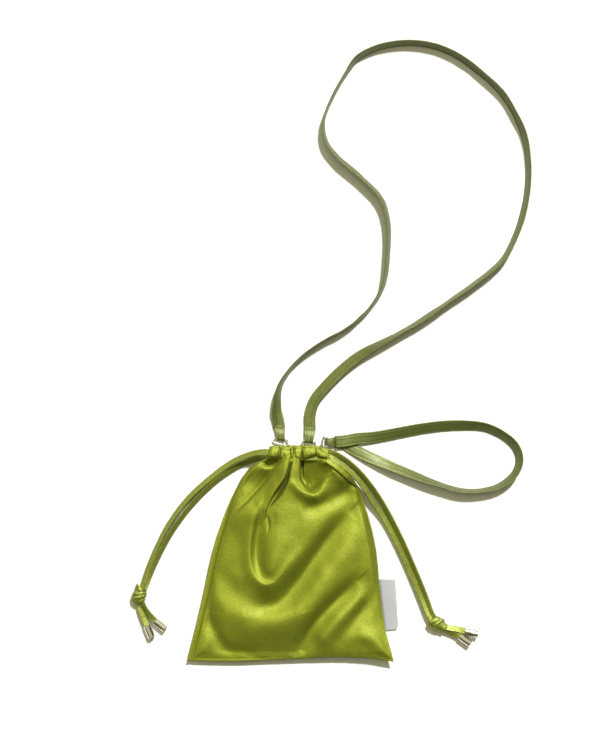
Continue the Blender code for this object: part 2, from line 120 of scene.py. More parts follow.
# ---- small tools
def smooth(points, count):
    """Even points along a smooth curve through rows of numbers, spaced by their first three."""
    pts = np.array(points, float)
    pts = np.vstack([2 * pts[0] - pts[1], pts, 2 * pts[-1] - pts[-2]])
    fine = []
    for i in range(1, len(pts) - 2):
        a, b, c, d = pts[i - 1:i + 3]
        for t in np.arange(0, 1, 1 / SPLINE_STEPS):
            fine.append(0.5 * (2 * b + (c - a) * t + (2 * a - 5 * b + 4 * c - d) * t * t
                               + (3 * b - a - 3 * c + d) * t ** 3))
    fine.append(pts[-2])
    fine = np.array(fine)
    run = np.concatenate([[0], np.cumsum(np.linalg.norm(np.diff(fine[:, :3], axis=0), axis=1))])
    at = np.linspace(0, run[-1], count)
    return np.stack([np.interp(at, run, fine[:, k]) for k in range(fine.shape[1])], axis=1)


def ease(t):
    """0 to 1 with a soft start and end."""
    t = np.clip(t, 0.0, 1.0)
    return t * t * (3 - 2 * t)


def grain(p, scale, seed=0.0):
    """Smooth noise at points in millimetres, about -1 to 1."""
    p = np.asarray(p, float)
    flat = p.reshape(-1, p.shape[-1])
    out = []
    for q in flat:
        out.append(noise.noise(Vector((q[0] / scale[0] + seed, q[1] / scale[1] - seed, seed * 0.7))))
    return np.array(out).reshape(p.shape[:-1]) * GRAIN_GAIN


def patches(x, y, scale, seed):
    """The same noise over a grid of places."""
    return grain(np.stack([x, y], -1), scale, seed)


def hump(distance, spread, power=2):
    """1 at no distance, falling away smoothly."""
    return np.exp(-(distance / spread) ** power)


def new_mesh(name, verts, faces, mat, uvs=None, shade=True):
    """Mesh object from millimetre points; uvs has one (u, v) per vertex or one per face corner."""
    mesh = bpy.data.meshes.new(name)
    places = [tuple(float(c) * MM for c in v) for v in verts]
    mesh.from_pydata(places, [], [tuple(map(int, f)) for f in faces])
    if uvs is not None:
        layer = mesh.uv_layers.new(name="UVMap")
        per_vertex = len(uvs) == len(verts)
        k = 0
        for poly in mesh.polygons:
            for li in poly.loop_indices:
                layer.data[li].uv = uvs[mesh.loops[li].vertex_index] if per_vertex else uvs[k]
                k += 1
    mesh.materials.append(mat)
    if shade:
        mesh.shade_smooth()
    mesh.update()
    obj = bpy.data.objects.new(name, mesh)
    bpy.context.scene.collection.objects.link(obj)
    return obj


def sweep(name, rings, mat, closed=False, run=None, around=None):
    """Skin a list of rings of points; u runs round the ring and v along it, both in millimetres."""
    rings = np.asarray(rings, float)
    n, m = rings.shape[:2]
    verts = rings.reshape(-1, 3)
    if run is None:
        mids = rings.mean(axis=1)
        run = np.concatenate([[0], np.cumsum(np.linalg.norm(np.diff(mids, axis=0), axis=1))])
    if around is None:
        edge = np.linalg.norm(np.roll(rings[0], -1, axis=0) - rings[0], axis=1)
        around = np.concatenate([[0], np.cumsum(edge)])
    step = run[1] - run[0]
    faces = []
    uvs = []
    for i in range(n if closed else n - 1):
        j = (i + 1) % n
        v0 = run[i]
        v1 = run[i] + step if j == 0 else run[j]
        for k in range(m):
            q = (k + 1) % m
            faces.append((i * m + k, i * m + q, j * m + q, j * m + k))
            uvs += [(around[k], v0), (around[k + 1], v0), (around[k + 1], v1), (around[k], v1)]
    if not closed:
        faces.append(tuple(range(m))[::-1])
        uvs += [(around[k], run[0]) for k in range(m)][::-1]
        faces.append(tuple((n - 1) * m + k for k in range(m)))
        uvs += [(around[k], run[-1]) for k in range(m)]
    return new_mesh(name, verts, faces, mat, [(u * MM, v * MM) for u, v in uvs])


def frames(path):
    """Tangent and level side direction at each point of a path."""
    p = path[:, :3]
    t = np.gradient(p, axis=0)
    t /= np.linalg.norm(t, axis=1)[:, None]
    side = np.stack([-t[:, 1], t[:, 0], np.zeros(len(t))], axis=1)
    side /= np.maximum(np.linalg.norm(side, axis=1), 1e-9)[:, None]
    return t, side


def tape_section(width, thickness, hem):
    """Flat folded tape: round edges, a pressed dip where the stitches run, and a soft middle."""
    half = width / 2
    r = thickness / 2
    top = []
    for x, lift in [(-x, lift) for x, lift in TAPE_HALF[:0:-1]] + TAPE_HALF:
        if not hem and abs(x) == STITCH_ROW:
            lift = PLAIN_LIFT
        top.append((x * half, lift * r))
    under = [(x, -z) for x, z in top[1:-1]][::-1]
    return np.array(top + under)


def ripple(along, across, seed):
    """Height of a tape's ripples, from a broad and a fine noise."""
    high, length, width = BROAD_RIPPLE
    broad = high * noise.noise(Vector((along / length, across / width + seed, seed)))
    high, length, width = FINE_RIPPLE
    fine = high * noise.noise(Vector((along / length, across / width - seed, seed + 4)))
    return broad + fine


def tape(name, route, width, thickness, count, mat, hem=True, crumple=0.35, seed=0.0, on_table=True,
         taper=0.0):
    """Tape along rows of (x, y, z, lean): lean 0 lies flat and 90 stands on edge.

    With on_table z is how far its lower edge is above the table. taper narrows its last part.
    Returns the object and its centre line.
    """
    even = smooth(route, count)
    lean = np.radians(even[:, 3])
    lean = lean + crumple * LEAN_DRIFT * grain(even[:, :2], LEAN_PATCH, seed)
    z = even[:, 2].copy()
    if on_table:
        z += 0.5 * width * np.abs(np.sin(lean)) + 0.5 * thickness * np.abs(np.cos(lean)) + TABLE_GAP
    path = np.column_stack([even[:, 0], even[:, 1], z])
    t, side = frames(path)
    up = np.cross(t, side)
    across = side * np.cos(lean)[:, None] + up * np.sin(lean)[:, None]
    face = np.cross(t, across)
    section = tape_section(width, thickness, hem)
    run = np.concatenate([[0], np.cumsum(np.linalg.norm(np.diff(path, axis=0), axis=1))])
    rings = []
    for i in range(count):
        past = max(0.0, run[i] / run[-1] - TAPER_FROM) / (1 - TAPER_FROM)
        narrow = 1 - taper * past ** 2
        ring = []
        for a, b in section:
            out = (b + crumple * ripple(run[i], a, seed)) * min(1.0, narrow * 2)
            ring.append(path[i] + across[i] * a * narrow + face[i] * out)
        rings.append(ring)
    edge = np.linalg.norm(np.roll(section, -1, axis=0) - section, axis=1)
    obj = sweep(name, rings, mat, run=run, around=np.concatenate([[0], np.cumsum(edge)]))
    return obj, path


def revolve(name, profile, sides, mat):
    """Solid of revolution about local Y from (radius, y) rows, closed on the axis at both ends."""
    rings = []
    for radius, y in profile:
        r = max(radius, AXIS_RADIUS)
        rings.append([(r * math.cos(w), y, r * math.sin(w))
                      for w in np.linspace(0, 2 * math.pi, sides, False)])
    obj = sweep(name, rings, mat)
    obj.data.set_sharp_from_angle(angle=math.radians(SHARP_EDGE))
    return obj


def place_along(obj, start, end, z):
    """Turn local +Y to run from start to end in the plane, at height z."""
    d = Vector(end) - Vector(start)
    turn = Matrix.Rotation(math.atan2(d.y, d.x) - math.pi / 2, 4, 'Z')
    obj.matrix_world = Matrix.Translation(Vector((start[0], start[1], z)) * MM) @ turn


def join(name, objs):
    """One object out of several meshes with their places applied."""
    bm = bmesh.new()
    mats = []
    mesh = bpy.data.meshes.new(name)
    for o in objs:
        part = o.data.copy()
        part.transform(o.matrix_world)
        shift = len(mats)
        mats += list(part.materials)
        for p in part.polygons:
            p.material_index += shift
        bm.from_mesh(part)
        bpy.data.objects.remove(o)
    bm.to_mesh(mesh)
    bm.free()
    for m in mats:
        mesh.materials.append(m)
    obj = bpy.data.objects.new(name, mesh)
    bpy.context.scene.collection.objects.link(obj)
    return obj


# ---- materials
THREAD_SCALE = (2600.0, 420.0, 1.0)
SOFT_SCALE = 620.0
SPECKLE_SCALE = 1150.0
DRIFT_SCALE = 26.0
FLOAT_RISE = 0.30
SOFT_RISE = 0.45
SPECKLE_RISE = 0.85
STITCH_SHARE = 0.4
THREAD = (0.40, 0.45, 0.14)
THREAD_SHOW = 0.18
THREAD_RISE = 1.3
# painted shade in the stitch holes: its darkness, its strength, and the depth of their dip in the bump
HOLE_SHADE = 0.35
HOLE_SHOW = 0.85
HOLE_DEPTH = 1.0


class Shader:
    """A little help for laying out shader nodes."""

    def __init__(self, name):
        self.mat = bpy.data.materials.new(name)
        self.mat.use_nodes = True
        self.nodes = self.mat.node_tree.nodes
        self.links = self.mat.node_tree.links
        self.bsdf = self.nodes["Principled BSDF"]

    def add(self, kind, **values):
        """A node with some of its sockets or settings given by name."""
        node = self.nodes.new(kind)
        for key, value in values.items():
            if key in node.inputs:
                node.inputs[key].default_value = value
            else:
                setattr(node, key, value)
        return node

    def join(self, a, b):
        self.links.new(a, b)

    def math(self, operation, a, b):
        node = self.add("ShaderNodeMath", operation=operation)
        for socket, value in zip(node.inputs, (a, b)):
            if isinstance(value, (int, float)):
                socket.default_value = value
            else:
                self.join(value, socket)
        return node.outputs[0]

    def mix(self, share, a, b):
        node = self.add("ShaderNodeMix", data_type='RGBA')
        for socket, value in zip((node.inputs[0], node.inputs[6], node.inputs[7]), (share, a, b)):
            if isinstance(value, (int, float)):
                socket.default_value = value
            elif isinstance(value, tuple):
                socket.default_value = (*value, 1.0)
            else:
                self.join(value, socket)
        return node.outputs[2]

    def value(self, socket, lo, hi, start=0.0, end=1.0):
        """A socket's range from start to end, spread over lo to hi."""
        node = self.add("ShaderNodeMapRange", clamp=True)
        node.inputs["From Min"].default_value = start
        node.inputs["From Max"].default_value = end
        node.inputs["To Min"].default_value = lo
        node.inputs["To Max"].default_value = hi
        self.join(socket, node.inputs["Value"])
        return node.outputs["Result"]


def satin(name, base, deep, roughness, metal, stitches=None):
    """Satin: long glossy floats one way, fine speckle, slight colour drift, painted shade on faces seen
    edge-on, and stitches on request.

    stitches is (rows, pitch along) in metres for a tape whose u runs round it; a row is (u, half width).
    """
    s = Shader(name)
    uv = s.add("ShaderNodeTexCoord").outputs["UV"]
    place = s.add("ShaderNodeTexCoord").outputs["Object"]
    threads = s.add("ShaderNodeMapping", Scale=THREAD_SCALE)
    s.join(uv, threads.inputs["Vector"])
    floats = s.add("ShaderNodeTexNoise", Scale=1.0, Detail=2.0, Roughness=0.6)
    s.join(threads.outputs["Vector"], floats.inputs["Vector"])
    soft = s.add("ShaderNodeTexNoise", Scale=SOFT_SCALE, Detail=3.0, Roughness=0.62)
    s.join(place, soft.inputs["Vector"])
    drift = s.add("ShaderNodeTexNoise", Scale=DRIFT_SCALE, Detail=2.0)
    s.join(place, drift.inputs["Vector"])
    # painted shade: the colour blends towards the dark tone where the surface is seen edge-on
    edge = s.add("ShaderNodeLayerWeight", Blend=0.35)
    colour = s.mix(s.value(edge.outputs["Facing"], 0.0, 0.75), base, deep)
    speckle = s.add("ShaderNodeTexNoise", Scale=SPECKLE_SCALE, Detail=2.0, Roughness=0.7)
    s.join(place, speckle.inputs["Vector"])
    colour = s.mix(s.value(soft.outputs["Fac"], 0.0, 0.30, start=0.35, end=0.65), colour, deep)
    colour = s.mix(s.value(speckle.outputs["Fac"], 0.0, 0.36, start=0.36, end=0.64), colour, deep)
    colour = s.mix(s.value(drift.outputs["Fac"], 0.0, 0.22), colour, deep)
    height = s.math('ADD', s.math('MULTIPLY', floats.outputs["Fac"], FLOAT_RISE),
                    s.math('ADD', s.math('MULTIPLY', soft.outputs["Fac"], SOFT_RISE),
                           s.math('MULTIPLY', speckle.outputs["Fac"], SPECKLE_RISE)))
    if stitches:
        colour, height = stitch_lines(s, uv, colour, height, stitches, deep)
    bump = s.add("ShaderNodeBump", Strength=0.85, Distance=0.0005)
    s.join(height, bump.inputs["Height"])
    s.join(bump.outputs["Normal"], s.bsdf.inputs["Normal"])
    s.join(colour, s.bsdf.inputs["Base Color"])
    rough = s.value(soft.outputs["Fac"], roughness - 0.05, roughness + 0.09)
    s.join(rough, s.bsdf.inputs["Roughness"])
    s.bsdf.inputs["Metallic"].default_value = metal
    s.bsdf.inputs["Specular IOR Level"].default_value = 0.45
    s.bsdf.inputs["Coat Weight"].default_value = 0.4
    s.bsdf.inputs["Coat Roughness"].default_value = roughness - 0.06
    s.bsdf.inputs["Sheen Weight"].default_value = 0.06
    s.bsdf.inputs["Sheen Roughness"].default_value = 0.4
    s.bsdf.inputs["Sheen Tint"].default_value = (0.80, 0.86, 0.42, 1.0)
    return s.mat


def stitch_lines(s, uv, colour, height, stitches, deep):
    """Rows of stitches along a tape: short raised threads, with painted shade in the holes between them.
    """
    rows, pitch = stitches
    split = s.add("ShaderNodeSeparateXYZ")
    s.join(uv, split.inputs[0])
    along = s.math('FRACT', s.math('DIVIDE', split.outputs["Y"], pitch), 0.0)
    thread_on = s.math('LESS_THAN', along, STITCH_SHARE)
    mask = None
    for at, half in rows:
        off = s.math('ABSOLUTE', s.math('SUBTRACT', split.outputs["X"], at), 0.0)
        near = s.math('LESS_THAN', off, half)
        mask = near if mask is None else s.math('MAXIMUM', mask, near)
    line = s.math('MULTIPLY', mask, thread_on)
    hole = s.math('MULTIPLY', mask, s.math('SUBTRACT', 1.0, thread_on))
    colour = s.mix(s.math('MULTIPLY', line, THREAD_SHOW), colour, THREAD)
    # painted shade in the stitch holes
    colour = s.mix(s.math('MULTIPLY', hole, HOLE_SHOW), colour, tuple(c * HOLE_SHADE for c in deep))
    height = s.math('ADD', height, s.math('MULTIPLY', line, THREAD_RISE))
    height = s.math('SUBTRACT', height, s.math('MULTIPLY', hole, HOLE_DEPTH))
    return colour, height


def nickel():
    """Polished nickel with slight wear in its colour and fine unevenness in its polish."""
    s = Shader("polished_nickel")
    place = s.add("ShaderNodeTexCoord").outputs["Object"]
    brush = s.add("ShaderNodeTexNoise", Scale=700.0, Detail=4.0)
    s.join(place, brush.inputs["Vector"])
    wear = s.add("ShaderNodeTexNoise", Scale=160.0, Detail=3.0)
    s.join(place, wear.inputs["Vector"])
    s.join(s.mix(s.value(wear.outputs["Fac"], 0.0, 0.6), (0.93, 0.90, 0.85), (0.66, 0.62, 0.55)),
           s.bsdf.inputs["Base Color"])
    s.join(s.value(brush.outputs["Fac"], 0.09, 0.17), s.bsdf.inputs["Roughness"])
    bump = s.add("ShaderNodeBump", Strength=0.03, Distance=0.0001)
    s.join(brush.outputs["Fac"], bump.inputs["Height"])
    s.join(bump.outputs["Normal"], s.bsdf.inputs["Normal"])
    s.bsdf.inputs["Metallic"].default_value = 1.0
    return s.mat


def label_cloth():
    """White woven label: fine ribs and a matt fuzz."""
    s = Shader("woven_label")
    uv = s.add("ShaderNodeTexCoord").outputs["UV"]
    rib = s.add("ShaderNodeTexWave", Scale=900.0, Distortion=0.6, wave_type='BANDS',
                bands_direction='Y')
    s.join(uv, rib.inputs["Vector"])
    fuzz = s.add("ShaderNodeTexNoise", Scale=1500.0, Detail=3.0)
    s.join(s.add("ShaderNodeTexCoord").outputs["Object"], fuzz.inputs["Vector"])
    s.join(s.mix(s.value(fuzz.outputs["Fac"], 0.0, 0.5), (0.43, 0.435, 0.47), (0.34, 0.345, 0.37)),
           s.bsdf.inputs["Base Color"])
    bump = s.add("ShaderNodeBump", Strength=0.4, Distance=0.00015)
    s.join(s.math('ADD', rib.outputs["Fac"], fuzz.outputs["Fac"]), bump.inputs["Height"])
    s.join(bump.outputs["Normal"], s.bsdf.inputs["Normal"])
    s.bsdf.inputs["Roughness"].default_value = 0.78
    return s.mat


def floor_paint():
    """Plain matt paint for the studio floor."""
    s = Shader("studio_floor")
    s.bsdf.inputs["Base Color"].default_value = (0.82, 0.82, 0.82, 1.0)
    s.bsdf.inputs["Roughness"].default_value = 0.9
    s.bsdf.inputs["Specular IOR Level"].default_value = 0.0
    return s.mat


# BRIGHT is the panel's satin colour; DEEP is the darker tone that the random colour variation, the
# painted shade on faces seen edge-on and the painted shade in stitch holes blend towards
BRIGHT = (0.375, 0.425, 0.024)
DEEP = (0.125, 0.140, 0.002)
STITCH_PLACES = (7.9, 15.6)
STITCH_HALF = 0.34
STITCH_PITCH = 2.4
SEAM_ROWS = [(u * MM, STITCH_HALF * MM) for u in STITCH_PLACES]
SATIN = satin("satin_panel", BRIGHT, DEEP, 0.60, 0.86)
CASING = satin("satin_casing", (0.300, 0.345, 0.018), DEEP, 0.54, 0.86)
STRAP = satin("satin_tape", (0.196, 0.225, 0.052), (0.060, 0.072, 0.010), 0.46, 0.52,
              (SEAM_ROWS, STITCH_PITCH * MM))
CORD = satin("satin_cord", (0.385, 0.436, 0.072), (0.098, 0.114, 0.011), 0.46, 0.78)
NICKEL = nickel()
LABEL = label_cloth()


# ---- stage
def direction(azimuth, elevation):
    """Unit vector towards a place in the sky, from degrees."""
    az = math.radians(azimuth)
    el = math.radians(elevation)
    return Vector((math.cos(az) * math.cos(el), math.sin(az) * math.cos(el), math.sin(el)))


def stage():
    """Camera, sun, soft one-sided sky and floor."""
    scene = bpy.context.scene
    camera = bpy.data.objects.new("camera", bpy.data.cameras.new("camera"))
    scene.collection.objects.link(camera)
    camera.location = Vector(CAMERA_AT) * MM
    camera.data.lens = CAMERA_LENS
    camera.data.sensor_width = 36.0
    camera.data.clip_end = 20.0
    scene.camera = camera
    sun = bpy.data.objects.new("key", bpy.data.lights.new("key", 'SUN'))
    scene.collection.objects.link(sun)
    sun.data.energy = KEY_STRENGTH
    sun.data.angle = math.radians(KEY_SIZE)
    sun.rotation_euler = direction(KEY_AZIMUTH, KEY_ELEVATION).to_track_quat('Z', 'Y').to_euler()
    world = bpy.data.worlds.new("studio")
    world.use_nodes = True
    back = world.node_tree.nodes["Background"]
    back.inputs["Color"].default_value = FILL_COLOUR
    around = world.node_tree.nodes.new("ShaderNodeTexCoord")
    facing = world.node_tree.nodes.new("ShaderNodeVectorMath")
    facing.operation = 'DOT_PRODUCT'
    facing.inputs[1].default_value = direction(FILL_AZIMUTH, FILL_ELEVATION)
    level = world.node_tree.nodes.new("ShaderNodeMapRange")
    level.inputs["From Min"].default_value = FILL_FROM
    level.inputs["From Max"].default_value = 1.0
    level.inputs["To Min"].default_value = FILL_LOW
    level.inputs["To Max"].default_value = FILL_HIGH
    world.node_tree.links.new(around.outputs["Generated"], facing.inputs[0])
    world.node_tree.links.new(facing.outputs["Value"], level.inputs["Value"])
    world.node_tree.links.new(level.outputs["Result"], back.inputs["Strength"])
    scene.world = world
    half = FLOOR_SIZE / MM / 2
    low = -FLOOR_DROP
    corners = [(-half, -half, low), (half, -half, low), (half, half, low), (-half, half, low)]
    floor = new_mesh("floor", corners, [(0, 1, 2, 3)], floor_paint(), shade=False)
    scene.view_settings.view_transform = 'Standard'


stage()

# ---- straps and drawstrings
SHOULDER = [
    (-10.8, 121.5, 1.4, 0), (-12, 130, 0.8, 14), (-13.4, 141.2, 0, 40), (-11.1, 159.8, 0, 66),
    (-2.5, 175.5, 0, 72), (11.7, 191.3, 0, 78), (31.8, 205.6, 0, 80), (50.3, 215.6, 0, 80),
    (64.7, 225.7, 0, 79), (79, 240, 0, 78), (89.1, 257.2, 0, 74), (93.4, 275.7, 0, 68),
    (95.6, 309.4, 0, 68), (93.5, 330.8, 0, 68), (86.2, 348, 0, 68), (66.2, 368.1, 0, 68),
    (47.6, 383.8, 0, 70), (34.7, 401, 0, 74), (32.6, 421, 0, 79), (40.5, 442.5, 0, 80),
    (53.4, 465.4, 0, 78), (64.8, 481.2, 0, 66), (83.4, 491.1, 0, 68), (107.7, 496, 0, 68),
    (133.6, 494.6, 0, 68), (159.3, 485.5, 0, 68), (183.6, 468.3, 0, 68), (205.1, 448.2, 0, 68),
    (219.4, 425.3, 0, 68), (228, 403.8, 0, 68), (231.5, 381, 0, 68), (230.8, 355.2, 0, 68),
    (226.5, 330.8, 0, 68), (219.4, 309.4, 0, 66), (206.5, 285.4, 0, 72), (183, 265, 0, 72),
    (156.6, 246.4, 0, 74), (126.3, 225.7, 0, 70), (96.2, 208.5, 0, 68), (70.4, 194.1, 0, 40),
    (51.8, 179.8, 0, 32), (34.6, 162.6, 0, 26), (23.6, 148.4, 0, 16), (18.9, 134, 0.6, 4),
    (18.9, 119.4, 1, 0),
]
WRIST = [
    (43.6, 108.2, 3.3, 0), (54, 109, 3.3, 0), (66, 111.2, 2.4, 4), (83.9, 112.9, 1.2, 12),
    (128.8, 121.1, 0.4, 22), (158.6, 124, 0, 28), (188.5, 122.5, 0, 38), (210.8, 111.8, 0, 50),
    (221, 99.4, 0, 55), (222.3, 86, 0, 58), (214.3, 72.5, 0, 62), (197.5, 63, 0, 68),
    (170.5, 60.3, 0, 72), (143.7, 67.1, 0, 68), (113.8, 78, 0, 46), (83.9, 90, 0, 20),
    (66, 98.2, 0, 8), (54, 104.8, 0, 2), (44, 107.6, 0, 0),
]
shoulder, shoulder_path = tape("shoulder_tape", SHOULDER, STRAP_W, STRAP_T, SHOULDER_STEPS, STRAP,
                               seed=1.3)
wrist, wrist_path = tape("wrist_tape", WRIST, STRAP_W, STRAP_T, WRIST_STEPS, STRAP, seed=5.1)


def free_cord(obj, body):
    """Attach a strap or strand to its body."""
    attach(obj, body)


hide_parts("shoulder_strap")
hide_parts("wrist_strap")

LEFT_UPPER = [
    (4, 98.6, 17.4, 0), (-14, 98.6, 17.4, 0), (-22, 98.7, 17.2, 6), (-31, 98, 14.6, 20),
    (-42.4, 94.9, 10.2, 30), (-57.2, 88, 6, 34), (-77.2, 73.3, 3, 34), (-99.3, 53.2, 2.4, 38),
    (-117.4, 29.4, 2.4, 42), (-130, 5.6, 2.4, 44), (-139.2, -17, 3, 40), (-142.9, -29.5, 4.6, 30),
    (-145, -36, 5.4, 10),
]
LEFT_LOWER = [
    (4, 93.5, 7.5, 0), (-14, 93.5, 7.5, 0), (-22, 93.4, 7.2, -6), (-30, 92.4, 5.4, -14),
    (-40.2, 89.4, 3.4, -20), (-53.8, 83.2, 2.3, -26), (-73.4, 69.4, 2.3, -30),
    (-93.9, 49.4, 2.3, -34), (-111.9, 26.6, 2.3, -34), (-125.2, 4, 2.4, -36), (-135.4, -17.4, 3, -30),
    (-140, -29, 4.4, -20), (-143, -36, 5, -6),
]
RIGHT_LOWER = [
    (10, 93.5, 17.4, 0), (28, 93.5, 17.4, 0), (38.6, 93.4, 17.2, -12), (49.2, 86.6, 14.6, -34),
    (60.4, 77.2, 11.4, -36), (70.6, 65.2, 8.4, -34), (80.2, 50.2, 5.6, -34), (91.8, 32.2, 2.8, -34),
    (104.4, 8.1, 2.4, -38), (116.2, -18.1, 2.4, -38), (127.2, -43.6, 3.2, -34),
    (134.4, -59.6, 4.8, -20), (138.6, -66.6, 5.2, -6),
]
RIGHT_UPPER = [
    (10, 98.6, 7.5, 0), (28, 98.6, 7.5, 0), (38.8, 98.2, 7.2, 8), (52.6, 90.9, 6.2, 24),
    (64.4, 81, 5.2, 30), (75.4, 68.7, 4.2, 34), (86, 53.8, 3.2, 36), (97, 34.9, 2.6, 38),
    (109.2, 10.4, 2.4, 40), (120.8, -16.1, 2.4, 40), (131.4, -42.4, 3.2, 34), (136.6, -57.6, 4.8, 22),
    (140.6, -65, 5.2, 6),
]
STRANDS = {
    "left_front": (LEFT_UPPER, "left_drawstring", "left_front_strand"),
    "left_back": (LEFT_LOWER, "left_drawstring", "left_back_strand"),
    "right_front": (RIGHT_LOWER, "right_drawstring", "right_front_strand"),
    "right_back": (RIGHT_UPPER, "right_drawstring", "right_back_strand"),
}
strands = {}
for key, (route, body, node) in STRANDS.items():
    strand, strand_path = tape(key + "_cord", route, CORD_W, CORD_T, STRAND_STEPS, CORD, hem=False,
                               crumple=0.22, seed=len(key) + 0.3, on_table=False)
    strands[key] = (strand, strand_path, body)
    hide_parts(node)


# ---- knots, tails and metal tips
BAND_SQUARE = 0.8
BAND_PLEATS = 2.2
BAND_PLEAT_W = 0.9
BAND_PLEAT_H = 0.42
KNOT_FLAT = 0.62
KNOT_Z = 4.7
KNOT_REST = 0.1
KNOT_SHIFT = 1.7


def wrap(radii, y, tilt, width, thick, seed):
    """A soft band of cord round the knot, closed on itself: y along the knot, tilted in plan."""
    rings = []
    for w in np.linspace(0, 2 * math.pi, BAND_STEPS, False):
        c = math.cos(w)
        h = math.sin(w)
        bend = 0.5 * math.sin(2 * w + seed)
        p = np.array([radii[0] * c, y + math.tan(tilt) * radii[0] * c + bend, radii[1] * h])
        out = np.array([c / radii[0], 0, h / radii[1]])
        out /= np.linalg.norm(out)
        along = np.array([-radii[0] * h, -math.tan(tilt) * radii[0] * h, radii[1] * c])
        along /= np.linalg.norm(along)
        across = np.cross(along, out)
        ring = []
        for q in np.linspace(0, 2 * math.pi, BAND_SIDES, False):
            a = width / 2 * math.cos(q)
            b = thick / 2 * math.copysign(abs(math.sin(q)) ** BAND_SQUARE, math.sin(q))
            place = Vector((BAND_PLEATS * c + seed, BAND_PLEATS * h, a / BAND_PLEAT_W + seed))
            pleat = BAND_PLEAT_H * noise.noise(place) * abs(math.sin(q))
            ring.append(p + across * a + out * (b + pleat))
        rings.append(ring)
    return sweep(f"wrap_{seed:.1f}", rings, CORD, closed=True)


def core(profile, flat, seed):
    """The body of the knot from (y, radius) rows along it, with soft lengthwise pleats."""
    rows = []
    for y, r in smooth([(y, r, 0.0) for y, r in profile], CORE_STEPS)[:, :2]:
        ring = []
        for w in np.linspace(0, 2 * math.pi, CORE_SIDES, False):
            even = 0.06 * math.sin(7 * w + 0.30 * y + seed)
            uneven = 0.10 * noise.noise(Vector((2 * math.cos(w), y / 4, seed)))
            out = r * (1 + even + uneven)
            ring.append((out * math.cos(w), y, flat * out * math.sin(w)))
        rows.append(ring)
    return sweep("core", rows, CORD)


def knot(name, centre, towards, bands, profile, body, node):
    """Overhand knot in the doubled cord; local +Y points the way the cord arrives from."""
    parts = [core(profile, KNOT_FLAT, centre[0])]
    for i, (y, tilt, rx, rz, width, thick) in enumerate(bands):
        parts.append(wrap((rx, rz), y, math.radians(tilt), width, thick, centre[0] + i * KNOT_SHIFT))
    obj = join(name, parts)
    turn = Matrix.Rotation(math.radians(towards - 90), 4, 'Z')
    obj.data.transform(Matrix.Translation(Vector(centre) * MM) @ turn)
    for vertex in obj.data.vertices:
        vertex.co.z = max(vertex.co.z, KNOT_REST * MM)
    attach(obj, body)
    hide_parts(node)
    return obj


# bands are rows of (y, tilt, half width, half height, band width, band thickness)
# and bodies are rows of (y, radius)
LEFT_BANDS = [
    (4.9, -34, 4.7, 3.4, 4.6, 2.2), (1.6, 14, 5.9, 3.9, 3.2, 2), (-1.6, 17, 6.2, 4, 3.6, 2),
]
LEFT_BODY = [
    (7.6, 0.6), (6.6, 2.8), (3.4, 4.8), (0, 6), (-3, 6.6), (-5.8, 5.9), (-8.4, 4.4), (-9.2, 2.4),
    (-9.4, 0.5),
]
RIGHT_BANDS = [
    (3.9, -20, 5.4, 3.6, 4.4, 2.2), (0.4, -30, 6.2, 4.1, 3.2, 2.2), (-1.2, 32, 5.2, 3.9, 2.4, 1.6),
]
RIGHT_BODY = [
    (7, 0.6), (6, 3.2), (3, 5.6), (0, 6.5), (-3, 6), (-6, 5), (-9.4, 4.3), (-10.4, 2.4), (-10.6, 0.5),
]
on_strand = {"left_front": [], "left_back": [], "right_front": [], "right_back": []}
left_knot = knot("left_knot_tied", (-147.2, -41.0, KNOT_Z), 76, LEFT_BANDS, LEFT_BODY,
                 "left_drawstring", "left_knot")
right_knot = knot("right_knot_tied", (142.6, -68.6, KNOT_Z), 146, RIGHT_BANDS, RIGHT_BODY,
                  "right_drawstring", "right_knot")
on_strand["left_front"].append(left_knot)
on_strand["right_front"].append(right_knot)

TIP_R = 3.65
TIP_WALL = 0.62
TIP_LENGTH = 12.7
TIP_HOLLOW = 3.6
BEAD = 1.4
ROUNDING = 0.3
# each tail: its route, where its metal tip starts and ends, and the drawstring it is part of
TAILS = {
    "left_inner": (
        [(-145.2, -45.0, 5.4, 10), (-143.2, -51.6, 5.0, 20), (-138.0, -59.6, 4.2, 18),
         (-131.0, -66.8, 3.8, 4)],
        (-131.7, -65.9), (-122.9, -73.2), "left_drawstring"),
    "left_outer": (
        [(-147.0, -45.0, 4.2, -10), (-146.6, -52.4, 3.9, -14), (-143.6, -62.4, 3.8, -16),
         (-139.4, -71.8, 3.8, -4)],
        (-139.9, -70.6), (-135.2, -82.0), "left_drawstring"),
    "right_upper": (
        [(147.0, -70.6, 4.8, -10), (154.2, -73.0, 4.6, -20), (162.4, -74.4, 4.0, -14),
         (171.4, -76.4, 3.8, -4)],
        (170.2, -76.1), (181.5, -79.0), "right_drawstring"),
    "right_lower": (
        [(147.0, -72.6, 4.2, 12), (153.4, -76.4, 3.8, 20), (159.4, -78.8, 3.6, 16),
         (165.8, -81.5, 3.8, 4)],
        (164.9, -81.0), (175.1, -88.3), "right_drawstring"),
}


def tip_profile():
    """(radius, y) along a crimped tip: a closed cord end, a beaded rim, a tube and a hollow mouth."""
    rim = TIP_R - TIP_WALL
    groove = TIP_R - 0.14
    return [
        (0.0, BEAD), (rim, BEAD), (rim, 0.25), (rim + 0.22, 0.0), (TIP_R - 0.12, 0.0), (TIP_R, 0.16),
        (TIP_R, 0.9), (groove, 1.05), (groove, 1.25), (TIP_R, BEAD), (TIP_R, TIP_LENGTH - ROUNDING),
        (TIP_R - 0.22, TIP_LENGTH), (rim + 0.1, TIP_LENGTH), (rim, TIP_LENGTH - ROUNDING),
        (rim, TIP_LENGTH - TIP_HOLLOW), (0.0, TIP_LENGTH - TIP_HOLLOW),
    ]


